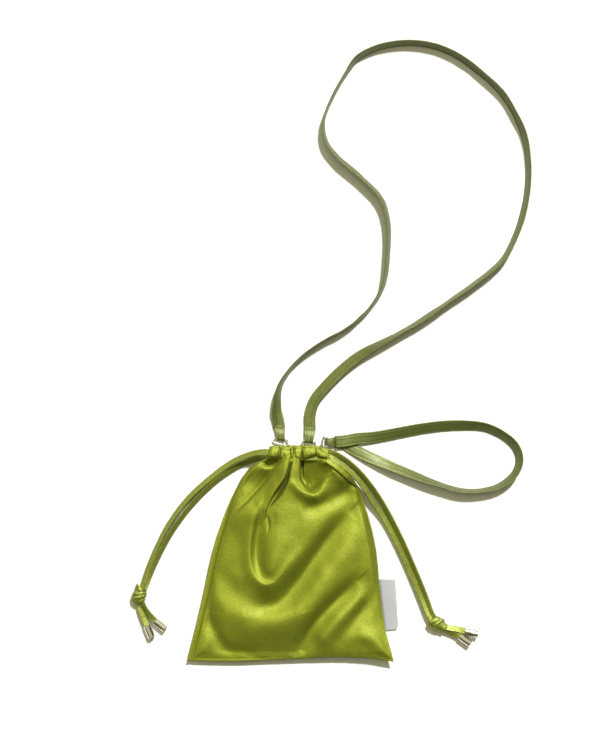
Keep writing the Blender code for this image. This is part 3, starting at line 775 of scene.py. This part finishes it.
for key, (route, start, end, body) in TAILS.items():
    tip = revolve(key + "_metal_tip", tip_profile(), TIP_SIDES, NICKEL)
    place_along(tip, start, end, TIP_R + TABLE_GAP)
    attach(tip, body)
    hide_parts(key + "_tip")
    tail, _ = tape(key + "_cord_end", route, TAIL_W, TAIL_T, TAIL_STEPS, CORD, hem=False, crumple=0.5,
                   seed=start[0] * 0.1, on_table=False)
    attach(tail, body)
    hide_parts(key + "_tail")
    on_strand[body.replace("drawstring", "front")] += [tail, tip]
for key, (strand, strand_path, body) in strands.items():
    free_cord(strand, body)


# ---- strap ends folded round the clasp eyes
BAR_Z = 2.5
FOLD_LOW = 0.85 - BAR_Z
FOLD_HIGH = 1.72
FOLD_OUT = 1.66
FOLD_THIN = 0.95
FOLD_RIPPLE = 0.25


def folded_end(name, centre, bar, outward, widths, reach, body, node):
    """Tape that comes in low, turns round the bar and lies back on itself."""
    line = smooth([(reach + 1.2, -0.15), (reach - 2.4, 0.15), (reach * 0.45, 1.45), (0.6, FOLD_HIGH),
                   (-1.4, 0.9), (-FOLD_OUT, 0.0), (-1.4, -0.9), (0.6, FOLD_LOW), (reach * 0.5, FOLD_LOW),
                   (reach + 2.0, FOLD_LOW + 0.1)], FOLDED_END_STEPS)
    b = np.array([*bar, 0.0]) / np.hypot(*bar)
    o = np.array([*outward, 0.0]) / np.hypot(*outward)
    up = np.array([0, 0, 1.0])
    path = np.array([[centre[0], centre[1], BAR_Z]]) + line[:, :1] * o + line[:, 1:2] * up
    t = np.gradient(path, axis=0)
    t /= np.linalg.norm(t, axis=1)[:, None]
    rings = []
    for i, p in enumerate(path):
        share = ease(max(line[i, 0], 0.0) / reach)
        width = widths[0] + (widths[1] - widths[0]) * share
        face = np.cross(t[i], b)
        ring = []
        for a, h in tape_section(width, STRAP_T * FOLD_THIN, True):
            lift = FOLD_RIPPLE * noise.noise(Vector((i / 5.0, a / 2.5, centre[0])))
            ring.append(p + b * a + face * (h + lift))
        rings.append(ring)
    obj = sweep(name, rings, STRAP)
    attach(obj, body)
    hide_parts(node)
    return obj


HINGE = (0.9969, -0.0787)
shoulder_ends = [
    folded_end("shoulder_fold_left", (-9.25, 111.0), HINGE, (-0.13, 0.9915), (7.6, 10.2), 12.0,
               "shoulder", "shoulder_strap_left_end"),
    folded_end("shoulder_fold_right", (18.0, 108.85), HINGE, (0.0787, 0.9969), (8.4, 11.0), 12.0,
               "shoulder", "shoulder_strap_right_end"),
]
wrist_end = folded_end("wrist_fold", (36.0, 108.0), (0.0, 1.0), (1.0, 0.0), (6.6, 9.6), 9.0, "wrist",
                       "wrist_strap_end")
free_cord(shoulder, "shoulder")
free_cord(wrist, "wrist")


# ---- the pouch's cloth
# rows of (y, left edge, right edge), and the bottom edge as (share of the width, y)
OUTLINE = np.array([
    (-105.3, -99.9, 100.2), (-98, -98.7, 98.4), (-90.8, -96.9, 96.4), (-78.2, -93.6, 93),
    (-65, -90.3, 90.7), (-51.2, -87.1, 88.9), (-30, -82.4, 86.4), (-13.2, -79, 85.2),
    (2.9, -75.2, 83.4), (21, -70, 79.8), (39, -63.6, 74.9), (51.7, -58.2, 70.6), (62, -53.2, 67.4),
    (71.7, -48.3, 61.6), (82.4, -40.4, 50.6), (88, -33, 44.5), (92, -25, 39.4), (97, -20.6, 37),
])
BOTTOM = np.array([
    (0, -104.6), (0.12, -105.2), (0.26, -105.3), (0.4, -103.8), (0.53, -102.6), (0.66, -101.2),
    (0.76, -100.8), (0.9, -101.8), (0.97, -104.2), (1, -105.3),
])
PANEL_TOP = 97.0
PANEL_CUT = (0.200, 0.210)
CROWN = 13.4
LIP = 3.2
NECK_LIFT = 5.2
NECK_FROM = 48.0
NECK_RUN = 36.0
SEAM_LIFT = 6.4
CORNER_CURL = 3.2
CORNER_DROP = 1.0
NECK_THINNER = 3.2
FOOT = 102.5
FOOT_RUN = 50.0
DEEPEST = -2.4
FLAT_EDGE = 0.6
EDGE_FADE = 8.0
FAN_CENTRE = (8.0, 132.0)
POCKET = (9, 34)
BACK_LOW = 0.55
SEAM_T = 1.1
HANG_REACH = 8.5

# rows of (x, y, height, spread to the left of the way along, spread to the right), then the sharpness
FOLDS = [
    # the pleat that runs down and left from the casing, and the slot beside it
    ([(-1.2, 92, 3.2, 0.6, 8), (-3, 84, 4.4, 0.6, 9), (-6, 73.5, 4.8, 0.6, 9),
      (-13.2, 61.6, 5, 0.6, 9), (-19.2, 52.6, 4.4, 0.7, 9), (-22.4, 45.2, 3, 1, 8),
      (-25.4, 35, 1.4, 1.4, 6), (-27, 26, 0, 1.5, 5)], 2),
    ([(0.6, 88, -2, 0.9, 0.9), (-1.6, 80, -6, 1.1, 1), (-4, 72.6, -9, 1.7, 1.5),
      (-8.6, 64.4, -11, 2.4, 2.1), (-12.6, 58.4, -11, 2.3, 2.1), (-17.2, 51.6, -7, 1.6, 1.5),
      (-20.8, 45.6, -2.5, 1, 1), (-22.8, 40, 0, 0.8, 0.8)], 2.6),
    ([(-14.2, 86, -2, 1.6, 4), (-21.6, 74.6, -3.4, 1.5, 4), (-33.6, 60.6, -3.6, 1.4, 4),
      (-46, 47.4, -3, 1.3, 4), (-56.6, 37, -1.6, 1.3, 3), (-62, 31, 0, 1.2, 3)], 1.5),
    # hollows and a swell behind the pleat, at the left shoulder
    ([(-14, 90, -5, 3.5, 3.5), (-21, 88, -7, 3.5, 3), (-27, 88.5, -3.5, 3, 2.5)], 2),
    ([(-48, 64, -1.5, 9, 12), (-38, 69, -4.6, 10, 12), (-28, 73, -4.6, 10, 12),
      (-19, 77, -2.5, 8, 8)], 2),
    ([(-62, 28, 1, 10, 12), (-52, 34, 3.2, 15, 12), (-41, 40, 3.6, 15, 10), (-32, 46, 1.6, 9, 8)], 2),
    # the deep pocket under the middle of the casing: its slot, its scoop and its rim
    ([(11.6, 97, -5, 1.6, 1.4), (11.2, 90, -10, 2, 1.2), (10.8, 80, -11.5, 2.6, 1.2),
      (11.8, 72, -10.5, 3.2, 1.2), (15, 66.4, -6.5, 3.2, 1.2), (19.6, 63.4, -2, 3, 1.2)], 2.2),
    ([(15, 99, -1, 10, 1.5), (15, 91, -4, 14, 2), (15.6, 82, -7.6, 16, 2.5),
      (17.2, 73, -10.6, 15, 2.8), (19.6, 67, -11.6, 11, 3), (21, 64, -8, 8, 3),
      (22.4, 61.6, -2, 7, 3)], 2.2),
    ([(-1, 72, 0, 3, 4), (4.4, 67.4, 2, 3, 5), (10.4, 61.6, 3.4, 3, 6), (17, 58.4, 4, 3, 7),
      (23.6, 57.8, 4, 3, 7), (29.4, 60.8, 3, 3.4, 7), (34, 67, 1.6, 4.5, 7), (36.6, 76, 0.6, 6, 7),
      (36, 86, 0, 6, 6)], 2),
    ([(40, 56, -1.6, 8, 7), (30, 48, -3, 8, 7), (18, 44, -2.6, 8, 7), (9, 42, 0, 6, 6)], 2),
    ([(60, 68, -2, 6, 6), (52, 60, -3, 7, 7), (42, 50, -1, 6, 6)], 2),
    # the right shoulder stands up under the slit's hem
    ([(34, 90, 5, 4, 6), (44, 82, 6, 4, 8), (56, 72, 5, 4, 9), (66, 60, 2.6, 4, 9),
      (71, 48, 0, 4, 8)], 2),
    # the facet right of the slot
    ([(5, 94, 1, 5, 5), (1.5, 78, 2.2, 8, 6), (-4.5, 60, 2, 9, 6), (-11, 42, 1.4, 10, 6)], 2),
    # the thin lip that runs down, round and up again
    ([(-28, 54, 0.4, 2.2, 5), (-32.6, 42.4, 1.8, 2.6, 6), (-37.4, 24, 2.8, 2.9, 7),
      (-39.6, 8, 3.2, 3, 7.5), (-39.3, -7.4, 3.2, 3, 7.5), (-36.2, -17.9, 3.2, 3, 7.5),
      (-30.9, -25.3, 3.3, 3, 7.5), (-24.2, -29.1, 3.4, 3.2, 8), (-16, -26.8, 3.2, 3.6, 8),
      (-8.6, -19.4, 2.6, 4, 8), (-1.6, -10, 1.8, 4.5, 8), (6, 0, 0.8, 5, 8), (12, 7, 0, 5, 6)], 1.9),
    ([(-25.6, 40, -0.8, 4, 2.6), (-29.4, 30, -1.8, 6, 3.2), (-32, 15, -2.4, 7, 3.4),
      (-32.6, 0, -2.4, 7, 3.4), (-30, -11.5, -1.6, 6, 3.4), (-25, -18.6, -0.6, 5, 3.2),
      (-18, -20, 0, 4, 3)], 2),
    ([(-22.2, 36, -0.6, 1.2, 0.9), (-21.2, 29, -1.5, 1.6, 1), (-22, 21, -0.2, 1.2, 0.9)], 1.6),
    ([(-2, 50, 0.4, 9, 11), (-8, 28, 2.2, 12, 12), (-14, 6, 4, 13, 12), (-18, -12, 4, 11, 10),
      (-21, -24, 1.5, 8, 8)], 2),
    # broad diagonals across the middle and the foot
    ([(56, 38, -1.8, 13, 9), (47, 27, -5, 14, 9), (35, 12, -7.6, 15, 9), (24.4, -3, -8.6, 16, 9),
      (12.4, -20.9, -8.8, 15, 9), (1.6, -35, -8.2, 14, 10), (-11, -47.8, -6.4, 12, 10),
      (-29, -55.6, -3.6, 12, 11), (-46, -59, 0, 12, 10)], 1.9),
    ([(70, 28, 1.2, 13, 11), (52, 4, 2.2, 14, 11), (36, -16, 2.6, 13, 11), (20, -38, 2.4, 12, 10),
      (6, -58, 1, 10, 9)], 2),
    ([(63, -28, -2.4, 11, 8), (52, -39, -5.6, 12, 8), (37.4, -53.6, -7.8, 12, 8),
      (24, -68.4, -7.4, 13, 8), (13.6, -84, -5.2, 12, 8), (8, -96, -1.8, 9, 8)], 1.9),
    ([(68, -44, 2, 8, 8), (48, -60, 3.2, 9, 8), (32, -80, 2.4, 9, 8)], 2),
    ([(84, -34, -1, 7, 7), (72, -52, -4, 8, 8), (60, -68, -3, 8, 8), (48, -82, -1.4, 8, 8)], 2),
    ([(-30, -48, -1.4, 9, 11), (-50, -38, -2, 10, 10), (-64, -24, -0.8, 9, 9)], 2),
    ([(-84, -48, -1.2, 6, 6), (-76, -72, -3.6, 7, 7), (-64, -92, -2.4, 8, 8),
      (-40, -98, -1, 8, 8)], 2),
    ([(-76, -30, 1.2, 8, 8), (-68, -48, 1.7, 8, 8), (-56, -62, 0.4, 8, 8)], 2),
    ([(-90, -96, 1.4, 7, 7), (-70, -78, 0.8, 7, 7)], 2),
    ([(-66, -100, -0.5, 20, 10), (-36, -101, -1.2, 24, 10), (-8, -100, -1.2, 24, 10),
      (16, -99, -0.4, 18, 10)], 2),
    ([(-60, -60, 0.8, 9, 14), (-38, -63, 2.4, 9, 18), (-14, -62, 2.4, 9, 18),
      (4, -58, 0.8, 9, 14)], 2),
    ([(94, -98, 2, 7, 7), (78, -82, 2.8, 8, 8), (62, -80, 0.6, 7, 7)], 2),
    ([(66, 50, 2, 9, 6), (75, 22, 2.6, 10, 6), (80, -16, 2.6, 10, 6), (84, -50, 1.4, 9, 6)], 2),
]


def fold_field(x, y, rows, power):
    """Height that a run of rows adds: highest on its line and falling away to each side."""
    rows = smooth(rows, FOLD_STEPS * len(rows))
    best = np.full(x.shape, 1e9)
    value = np.zeros(x.shape)
    for a, b in zip(rows, rows[1:]):
        ab = b[:2] - a[:2]
        t = np.clip(((x - a[0]) * ab[0] + (y - a[1]) * ab[1]) / (ab @ ab), 0, 1)
        dx = x - a[0] - ab[0] * t
        dy = y - a[1] - ab[1] * t
        d = np.hypot(dx, dy)
        left = ab[0] * dy - ab[1] * dx > 0
        spread = np.where(left, a[3] + (b[3] - a[3]) * t, a[4] + (b[4] - a[4]) * t)
        here = (a[2] + (b[2] - a[2]) * t) * np.exp(-(d / spread) ** power)
        closer = d < best
        value = np.where(closer, here, value)
        best = np.where(closer, d, best)
    return value


def rise(y):
    """How far the neck stands off the table, by place along the pouch."""
    return NECK_LIFT * ease((y - NECK_FROM) / NECK_RUN)


def edges(y):
    """Left and right edges of the pouch at a place along it."""
    return (np.interp(y, OUTLINE[:, 0], column) for column in (OUTLINE[:, 1], OUTLINE[:, 2]))


def panel_plan(u, v):
    """Where shares of the width and length lie in plan, with the edges there."""
    low = np.interp(u, BOTTOM[:, 0], BOTTOM[:, 1])
    y = low + (PANEL_TOP - low) * v
    left, right = edges(y)
    return left + (right - left) * u, y, left, right


def seam_height(x, y):
    """The seam stands off the table; its lower right corner curls up and the left one drops."""
    corner = np.exp(-(((x - 96) / 34) ** 2 + ((y + 100) / 24) ** 2))
    left_corner = np.exp(-(((x + 97) / 26) ** 2 + ((y + 102) / 20) ** 2))
    wave = 0.5 * np.sin(x / 23.0 + 0.6) + 0.4 * np.sin(y / 19.0 + 1.1)
    return rise(y) * 0.7 + SEAM_LIFT + wave + CORNER_CURL * corner - CORNER_DROP * left_corner


def gathers(x, y):
    """Fine pleats that fan out below the casing, weaker in the pocket."""
    angle = np.arctan2(x - FAN_CENTRE[0], FAN_CENTRE[1] - y)
    fan = 0.16 * np.cos(41 * angle + 0.4) + 0.10 * np.cos(73 * angle + 2.1)
    return fan * ease((y - 66.0) / 24.0) * np.where((x > POCKET[0]) & (x < POCKET[1]), 0.2, 1.0)


def seam_pucker(along, away, height, reach, patch, pitch):
    """Little tucks beside a seam that come and go along it."""
    pull = 0.5 + 0.5 * np.sin(along / patch[0] + patch[1] * np.sin(along / patch[2]))
    tucks = np.cos(along / pitch[0] + pitch[1] * np.sin(along / pitch[2]))
    return height * pull * tucks * hump(away, reach)


def front_height(x, y, left, right):
    """Height of the front above the table."""
    lip = LIP * ease((60 - y) / 40.0) + FLAT_EDGE
    from_seam = x - left - lip
    inner = np.clip(from_seam / (right - left - lip - 1.0), 0, 1)
    across = 1 - np.abs(2 * inner - 1) ** 2.1
    filled = np.sin(np.clip((y + FOOT) / FOOT_RUN, 0, 1) * math.pi / 2)
    neck = ease((y - 46.0) / 46.0)
    dome = (CROWN - NECK_THINNER * neck) * across ** (0.72 - 0.24 * neck) * filled
    folds = np.zeros(x.shape)
    for rows, power in FOLDS:
        folds += fold_field(x, y, rows, power)
    nearest = np.minimum.reduce([from_seam, (right - x) + 3 * neck, (y + 104.0) * 0.8])
    inside = ease(nearest / EDGE_FADE)
    soft = 0.75 * patches(x, y, (34, 40), 2.0) + 0.26 * patches(x, y, (12, 15), 7.0)
    seam_left = hump(from_seam, 1.0) * 1.1 * ease((66 - y) / 30.0)
    pucker = seam_pucker(y, from_seam, 0.24, 4.0, (9.0, 1.7, 23.0), (1.9, 2.2, 9.0))
    foot = seam_pucker(x, y + 101.0, 0.30, 4.5, (12.0, 2.0, 31.0), (2.3, 2.5, 11.0))
    extra = (folds + soft + gathers(x, y)) * inside
    extra = extra + (pucker + foot) * np.clip(inside * 3, 0.1, 1) - seam_left
    return seam_height(x, y) + np.maximum(dome + extra, DEEPEST)


def sheet(name, grid, height, mat):
    """A panel over a grid of places, given its height there and then a real thickness."""
    columns, rows = grid
    u, v = np.meshgrid(np.linspace(0, 1, columns), np.linspace(0, 1, rows))
    x, y, left, right = panel_plan(u, v)
    z = height(x, y, left, right)
    verts = np.stack([x, y, z], -1).reshape(-1, 3)
    faces = []
    for j in range(rows - 1):
        for i in range(columns - 1):
            k = j * columns + i
            faces.append((k, k + 1, k + columns + 1, k + columns))
    uvs = np.stack([u * PANEL_CUT[0], v * PANEL_CUT[1]], -1).reshape(-1, 2)
    obj = new_mesh(name, verts, faces, mat, [tuple(q) for q in uvs])
    solid = obj.modifiers.new("cloth", 'SOLIDIFY')
    solid.thickness = SATIN_T * MM
    solid.offset = -1.0
    bpy.context.view_layer.update()
    mesh = bpy.data.meshes.new_from_object(obj.evaluated_get(bpy.context.evaluated_depsgraph_get()))
    obj.modifiers.clear()
    obj.data = mesh
    mesh.shade_smooth()
    return obj


def back_height(x, y, left, right):
    """The back hangs from the seam and lies on the table in the middle."""
    low = np.minimum.reduce([x - left, right - x, y + 105.3])
    hang = hump(np.maximum(low, 0), HANG_REACH, 1.7)
    soft = np.abs(patches(x, y, (30, 26), 12.0)) * 0.9 * (1 - hang)
    return BACK_LOW + (seam_height(x, y) - SEAM_T) * hang + (rise(y) * 0.9 + soft) * (1 - hang)


front = sheet("front_cloth", FRONT_GRID, front_height, SATIN)
back = sheet("back_cloth", BACK_GRID, back_height, SATIN)
for obj, node in ((front, "front_panel"), (back, "back_panel")):
    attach(obj, "pouch")
    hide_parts(node)


# ---- gathered casing
FRONT_CASING_Z = (14.6, 21.2)
BACK_CASING_Z = (5.0, 10.6)
PINCHED = 0.42
SQUARE_ACROSS = 0.70
SQUARE_UP = 0.85
CREASE = 0.75
FINE_CREASE = 0.18
# dips round the run, as (place across, width, depth)
GROOVE = (0.55, 0.22, 0.30)
STITCH_DIP = (-0.80, 0.08, 0.20)


def pillow(corners, heights, seed):
    """One puffed run of casing between its gathers; its corners go round from the lower left."""
    z0, z1 = heights
    low_l, low_r, up_r, up_l = (np.array(c, float) for c in corners)
    rings = []
    for s in np.linspace(0, 1, PUFF_STEPS):
        pinch = (1 - abs(2 * s - 1) ** 2.6) ** 0.55
        low = low_l + (low_r - low_l) * s
        up = up_l + (up_r - up_l) * s
        mid = (low + up) / 2
        half = np.linalg.norm(up - low) / 2 * (0.91 + 0.09 * pinch)
        axis = (up - low) / np.linalg.norm(up - low)
        tall = (z1 - z0) / 2 * (PINCHED + (1 - PINCHED) * pinch)
        ring = []
        for w in np.linspace(0, 2 * math.pi, CASING_SIDES, False):
            c = math.copysign(abs(math.cos(w)) ** SQUARE_ACROSS, math.cos(w))
            h = math.copysign(abs(math.sin(w)) ** SQUARE_UP, math.sin(w))
            p = mid + axis * half * c
            slant = Vector((p[0] / 3.4 + p[1] / 9.0, p[1] / 6.5 - p[0] / 14.0, seed))
            crease = CREASE * noise.noise(slant) + FINE_CREASE * noise.noise(slant * 2.3)
            belly = 1.0 - 0.16 * c - GROOVE[2] * hump(c - GROOVE[0], GROOVE[1])
            stitched = 1 - STITCH_DIP[2] * hump(c - STITCH_DIP[0], STITCH_DIP[1])
            z = (z0 + z1) / 2 + tall * h * belly * stitched
            ring.append((p[0], p[1], z + crease * abs(h) * (0.3 + 0.7 * pinch)))
        rings.append(ring)
    return sweep(f"run_{seed:.1f}", rings, CASING)


FRONT_RUNS = [
    [(-22.6, 92), (-11.2, 92.6), (-10.6, 105), (-20, 104.6)],
    [(-10.4, 92.2), (0.3, 86.6), (0.4, 103.8), (-9.6, 104)],
    [(0.2, 91.2), (2.8, 91), (3, 103.6), (0.4, 103.4)],
    [(2.8, 91.6), (11.6, 90.8), (10.8, 105), (3, 104.4)],
    [(11.8, 90.6), (26, 95), (23.6, 105.2), (11.2, 105.4)],
    [(25.4, 94), (39.4, 90.4), (36.4, 97.6), (23.4, 104.2)],
]
BACK_RUNS = [
    [(-22, 91), (-12, 90), (-12.6, 104.6), (-20.4, 104)],
    [(-12.6, 90), (-2, 91), (-3, 105.2), (-12.2, 104.6)],
    [(-2.8, 91), (8, 90), (7.6, 104.8), (-2.6, 105.2)],
    [(7.4, 90), (19.6, 91), (18, 105.4), (7.8, 105)],
    [(18.8, 91), (29.4, 90), (28.4, 104.4), (18.2, 105.2)],
    [(28.8, 90), (38.6, 91.6), (36.6, 101.6), (28, 103.8)],
]
front_runs = [pillow(c, FRONT_CASING_Z, 1.7 * i + 0.5) for i, c in enumerate(FRONT_RUNS)]
back_runs = [pillow(c, BACK_CASING_Z, 2.3 * i + 0.2) for i, c in enumerate(BACK_RUNS)]
for name, runs, node in (("front_gather", front_runs, "front_casing"),
                         ("back_gather", back_runs, "back_casing")):
    obj = join(name, runs)
    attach(obj, "pouch")
    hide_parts(node)


def surface(x, y):
    """Height of the front cloth at one place."""
    left, right = edges(y)
    return float(front_height(np.array([x], float), np.array([y], float), left, right)[0])


HEM_START = (34.8, 91.4)
HEM_END = (64.6, 65.6)
HEM_BOW = 1.8
HEM_INSET = 1.5
HEM_RISE = 1.3

hem_line = []
for s in np.linspace(0, 1, HEM_PLACES):
    hx = HEM_START[0] + (HEM_END[0] - HEM_START[0]) * s
    hy = HEM_START[1] + (HEM_END[1] - HEM_START[1]) * s + HEM_BOW * math.sin(math.pi * s)
    hem_line.append((hx, hy, surface(hx - HEM_INSET, hy - HEM_INSET) + HEM_RISE, -26 + 6 * s))
hem, _ = tape("side_slit_hem", hem_line, HEM_W, HEM_T, HEM_STEPS, CASING, crumple=0.4, seed=3.3,
              on_table=False, taper=0.85)
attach(hem, "pouch")

# ---- side label
LABEL_SEAM = np.array([(85.6, -25.8), (91.6, -76.6)])
LABEL_EDGE = np.array([(101.8, -26.2), (105.2, -75.8)])
LABEL_CORNER = np.array([2.2, -0.4])
CORNER_FROM = 0.86
# round the folded label, (share of the way out from the seam, height)
LABEL_SECTION = [
    (0, 0.5), (0.2, 0.62), (0.4, 0.8), (0.6, 0.95), (0.8, 1.0), (0.95, 0.9), (1.0, 0.62), (0.95, 0.34),
    (0.8, 0.26), (0.6, 0.24), (0.4, 0.2), (0.2, 0.18), (0, 0.2),
]

rings = []
for s in np.linspace(0, 1, LABEL_STEPS):
    a = LABEL_SEAM[0] * (1 - s) + LABEL_SEAM[1] * s
    b = LABEL_EDGE[0] * (1 - s) + LABEL_EDGE[1] * s
    if s > CORNER_FROM:
        b = b - LABEL_CORNER * ((s - CORNER_FROM) / (1 - CORNER_FROM)) ** 2
    ring = []
    for w, z in LABEL_SECTION:
        p = a + (b - a) * w
        lift = 0.7 * w * math.sin(math.pi * s) ** 2 + 0.25 * math.sin(s * 6.0) * w
        ring.append((p[0], p[1], z + max(lift, 0.0)))
    rings.append(ring)
label = sweep("side_label_cloth", rings, LABEL)
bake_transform(label)
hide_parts("side_label")

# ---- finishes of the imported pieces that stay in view
for node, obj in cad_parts.items():
    if "clasp" in node:
        obj.data.materials.clear()
        obj.data.materials.append(NICKEL)
    elif "hang_loop" in node:
        obj.data.materials.clear()
        obj.data.materials.append(SATIN)
